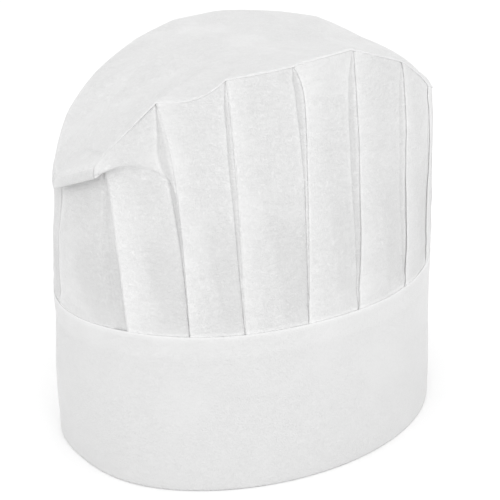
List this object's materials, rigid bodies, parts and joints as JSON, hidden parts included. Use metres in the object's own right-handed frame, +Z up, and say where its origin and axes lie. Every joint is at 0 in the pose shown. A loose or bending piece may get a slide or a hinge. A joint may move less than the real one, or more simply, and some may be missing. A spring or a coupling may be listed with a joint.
{
  "type": "chef toque",
  "caption": "Closed-top pleated chef's toque of white non-woven sheet, with a folded headband, a sweatband and a peel-open size tab at the back.",
  "frame": {"origin": "bottom centre of the whole hat, on the surface it stands on", "axes": "+Z up, forehead toward -Y, size tab at the back toward +Y, the wearer's left toward +X"},
  "size_m": [0.1798, 0.2097, 0.1987],
  "materials": {
    "non_woven_sheet": "matt white non-woven viscose with a streaky fibre texture",
    "absorbent_strip": "soft matt off-white felted strip",
    "hook_tape": "white hook tape",
    "loop_pile": "white loop pile",
    "sewing_thread": "white polyester thread"
  },
  "bodies": {
    "toque": {"headband": "non_woven_sheet", "crown_wall": "non_woven_sheet", "crown_top": "non_woven_sheet", "sweatband": "absorbent_strip", "closure_loop_pad": "loop_pile", "band_seam_thread": "sewing_thread", "top_seam_thread": "sewing_thread", "back_seam_thread": "sewing_thread", "sweatband_thread": "sewing_thread", "tab_hinge_thread": "sewing_thread"},
    "tab": {"closure_tab": "non_woven_sheet", "closure_hook_pad": "hook_tape"}
  },
  "joints": [
    {"name": "tab_peel", "type": "hinge", "parent": "toque", "child": "tab", "pos_m": [0.00835, 0.10203, 0.038], "axis": [-0.0297, -0.0114, -0.9995], "range_deg": [0, 110]}
  ]
}
